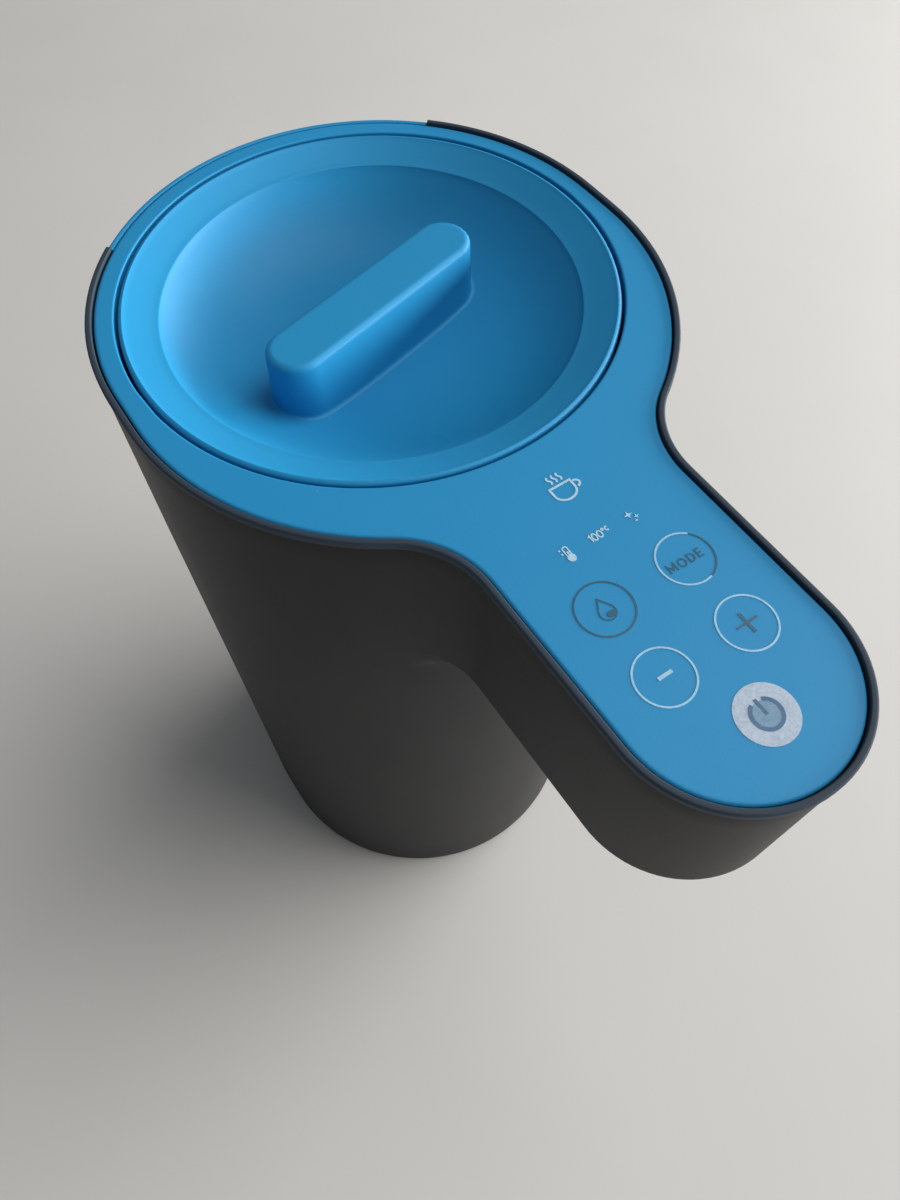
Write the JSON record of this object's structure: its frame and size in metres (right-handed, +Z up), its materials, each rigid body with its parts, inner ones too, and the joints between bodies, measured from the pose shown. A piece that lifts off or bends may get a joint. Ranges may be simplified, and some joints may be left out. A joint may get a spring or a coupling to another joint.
{
  "type": "heated milk frother jug",
  "caption": "Tall round heated milk frother jug with a saucepan-style side handle carrying touch controls, a dished lift-off lid with a grip bar, and a magnetically driven whisk.",
  "frame": {"origin": "on the jug's upright axis, on the plane that the foot ring stands on", "axes": "+Z up along the jug axis, +X from the jug axis along the handle, the pouring lip is towards -X"},
  "size_m": [0.1783, 0.11, 0.2065],
  "materials": {
    "casing_charcoal": "soft-touch charcoal",
    "panel_blue": "satin blue, fine moulded texture",
    "lid_blue": "satin blue",
    "inner_plastic": "black moulded",
    "white_plastic": "natural white",
    "silicone": "translucent white silicone",
    "rubber_black": "matt black",
    "stainless": "brushed",
    "aluminium_plate": "turned",
    "zinc_steel": "zinc plated",
    "brass_contacts": "plated",
    "magnet_nickel": "nickel plated",
    "board_green": "solder mask",
    "component_yellow": "moulded parts on the board",
    "wire_red": "silicone wire",
    "cable_grey": "ribbon insulation",
    "ceramic_white": "unglazed"
  },
  "bodies": {
    "jug_body": {"outer_casing": "casing_charcoal", "top_panel": "panel_blue", "spout_lip": "panel_blue", "inner_jug": "stainless", "jug_gasket": "silicone", "jug_clamp_ring": "inner_plastic", "whisk_pin": "stainless", "heating_plate": "aluminium_plate", "heater_element": "zinc_steel", "heater_leads": "wire_red", "thermal_cutout": "ceramic_white", "temperature_probe": "stainless", "motor_can": "zinc_steel", "motor_bracket": "zinc_steel", "motor_screws": "zinc_steel", "isolator_grommets": "rubber_black", "bracket_screws": "zinc_steel", "power_board": "board_green", "board_parts": "component_yellow", "board_screws": "zinc_steel", "control_cable": "cable_grey", "touch_board": "board_green", "touch_pads": "rubber_black", "indicator_lights": "white_plastic", "touch_board_screws": "zinc_steel", "buzzer": "inner_plastic", "base_plate": "inner_plastic", "base_screws": "zinc_steel", "foot_ring": "rubber_black", "power_socket": "inner_plastic", "socket_contacts": "brass_contacts"},
    "lid_ring": {"lid_seal": "silicone"},
    "lid": {"lid_cap": "lid_blue", "lid_underplate": "lid_blue"},
    "drive": {"drive_rotor": "white_plastic", "drive_magnets": "magnet_nickel", "motor_shaft": "zinc_steel"},
    "whisk": {"whisk_carrier": "inner_plastic", "whisk_magnets": "magnet_nickel", "whisk_coil": "stainless"}
  },
  "joints": [
    {"name": "lid_lift", "type": "slide", "parent": "jug_body", "child": "lid_ring", "axis": [0, 0, 1], "range_m": [0, 0.06]},
    {"name": "lid_turn", "type": "hinge", "parent": "lid_ring", "child": "lid", "pos_m": [0, 0, 0.18], "axis": [0, 0, 1], "continuous": true},
    {"name": "drive_spin", "type": "hinge", "parent": "jug_body", "child": "drive", "pos_m": [0, 0, 0.05], "axis": [0, 0, 1], "continuous": true},
    {"name": "whisk_spin", "type": "hinge", "parent": "jug_body", "child": "whisk", "pos_m": [0, 0, 0.07], "axis": [0, 0, 1], "continuous": true}
  ],
  "couplings": [
    {"joint": "whisk_spin", "follows": "drive_spin", "ratio": 1}
  ]
}
